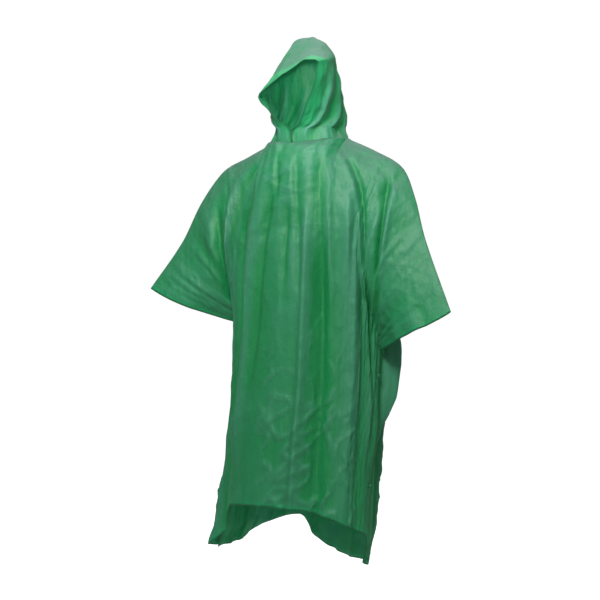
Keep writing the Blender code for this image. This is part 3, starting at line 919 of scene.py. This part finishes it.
def make_floor():
    """A pale floor, wide enough to reach past the view from every side."""
    material = bpy.data.materials.new("pale_floor")
    material.use_nodes = True
    shader = material.node_tree.nodes["Principled BSDF"]
    shader.inputs["Base Color"].default_value = (0.9, 0.9, 0.9, 1.0)
    shader.inputs["Roughness"].default_value = 0.9
    shader.inputs["Emission Color"].default_value = (1, 1, 1, 1)
    glow = shader.inputs["Emission Strength"]
    link_camera_level(material.node_tree, glow, FLOOR_GLOW, FLOOR_SEEN)
    plane = bmesh.new()
    bmesh.ops.create_grid(plane, x_segments=8, y_segments=8, size=FLOOR_SIDE / 2)
    bmesh.ops.translate(plane, verts=plane.verts, vec=(0, 0, FLOOR_HEIGHT))
    mesh = bpy.data.meshes.new("floor")
    plane.to_mesh(mesh)
    plane.free()
    mesh.materials.append(material)
    floor = bpy.data.objects.new("floor", mesh)
    bpy.context.scene.collection.objects.link(floor)


make_floor()

# %% Lights
CHEST = Vector((0, 0, -0.20))
WHITE = (1, 1, 1)


def hang_lamp(lamp, place, aim):
    """Hang a lamp so that it points at its aim."""
    holder = bpy.data.objects.new(lamp.name, lamp)
    holder.location = place
    holder.rotation_euler = (aim - place).to_track_quat("-Z", "Y").to_euler()
    bpy.context.scene.collection.objects.link(holder)
    print("light:", lamp.name, lamp.energy, "W")


def add_area_light(name, place, size, watts, colour=WHITE, shine=1.0):
    lamp = bpy.data.lights.new(name, "AREA")
    lamp.shape = "RECTANGLE"
    lamp.size, lamp.size_y = size
    lamp.energy = watts
    lamp.color = colour
    lamp.specular_factor = shine
    hang_lamp(lamp, place, CHEST)


def add_soft_spot(name, place, aim, degrees, watts, shine, softness):
    """A soft pool of light round the point it is aimed at."""
    lamp = bpy.data.lights.new(name, "SPOT")
    lamp.energy = watts
    lamp.spot_size = math.radians(degrees)
    lamp.spot_blend = 1.0
    lamp.shadow_soft_size = softness
    lamp.specular_factor = shine
    hang_lamp(lamp, place, aim)


COOL_WHITE = (0.93, 1.0, 0.99)
UPPER_CHEST = Vector((0, 0, -0.06))
INSIDE_HOOD = Vector((0, -0.05, 0.13))
add_area_light(
    "top", stand_at(0.25, 0.0, 1.5), size=(1.7, 1.2), watts=17, colour=COOL_WHITE, shine=5.0
)
add_soft_spot(
    "key", stand_at(1.9, -0.5, 1.35), UPPER_CHEST, degrees=66, watts=400, shine=1.1, softness=0.45
)
add_soft_spot(
    "hood", stand_at(2.4, -0.1, 0.0), INSIDE_HOOD, degrees=8, watts=420, shine=0.2, softness=0.15
)
add_area_light("fill", stand_at(2.4, 2.2, 0.4), size=(1.6, 1.6), watts=6)
add_area_light("wall", stand_at(-1.6, 0.0, 2.4), size=(3.0, 1.4), watts=50)

# %% World and camera
WORLD_GLOW = 0.20       # how much the world lights the garment
WORLD_SEEN = 1.02       # how bright the camera sees it

world = bpy.data.worlds.new("studio")
world.use_nodes = True
background = world.node_tree.nodes["Background"]
background.inputs["Color"].default_value = (1, 1, 1, 1)
link_camera_level(world.node_tree, background.inputs["Strength"], WORLD_GLOW, WORLD_SEEN)
bpy.context.scene.world = world
bpy.context.scene.view_settings.view_transform = "Standard"

camera_data = bpy.data.cameras.new("camera")
camera_data.lens = LENS
camera_data.sensor_width = SENSOR_WIDTH
camera = bpy.data.objects.new("camera", camera_data)
camera.location = AIM - FORWARD * CAMERA_DISTANCE
camera.rotation_euler = FORWARD.to_track_quat("-Z", "Y").to_euler()
bpy.context.scene.collection.objects.link(camera)
bpy.context.scene.camera = camera
print("camera:", [round(value, 3) for value in camera.location], "lens", LENS, "mm")

# %% [markdown]
# ## Hand the pieces to the frame
#
# Every piece rides on the one body and stands for its solid, which is hidden.

# %% Ride and replace
for shell, node in (
    (front, "front_panel"),
    (back, "back_panel"),
    (hood_left, "hood_left"),
    (hood_right, "hood_right"),
):
    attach(shell, "root")
    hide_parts(node)

# %% [markdown]
# ## The press studs
#
# A stud is a small moulded cap. Its solid already has the whole form, so it is shown as it is and
# only gets a finish: a harder plastic in a darker green than the film.

# %% Finish the studs
STUD_GLOSS = {"Roughness": 0.55, "Specular IOR Level": 0.25}
STUD_DARK = (0.010, 0.130, 0.045, 1.0)
STUD_PALE = (0.018, 0.190, 0.070, 1.0)


def make_stud_plastic():
    """Moulded plastic in the film's green, with a faint unevenness."""
    material = bpy.data.materials.new("stud_plastic")
    material.use_nodes = True
    tree = material.node_tree
    shader = tree.nodes["Principled BSDF"]
    set_inputs(shader, STUD_GLOSS)
    place = add_node(tree, "ShaderNodeTexCoord")
    mottle = add_node(tree, "ShaderNodeTexNoise", Scale=160.0, Detail=2.0)
    tree.links.new(place.outputs["Object"], mottle.inputs["Vector"])
    colour = blend_colours(tree, mottle.outputs["Fac"], STUD_DARK, STUD_PALE)
    tree.links.new(colour, shader.inputs["Base Color"])
    bump = add_node(tree, "ShaderNodeBump", Strength=0.15, Distance=0.0003)
    tree.links.new(mottle.outputs["Fac"], bump.inputs["Height"])
    tree.links.new(bump.outputs["Normal"], shader.inputs["Normal"])
    return material


stud_plastic = make_stud_plastic()
for name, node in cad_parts.items():
    if name.startswith("stud_"):
        if not node.data.materials:
            node.data.materials.append(stud_plastic)
        for index in range(len(node.material_slots)):
            node.material_slots[index].material = stud_plastic
        print("stud:", name)
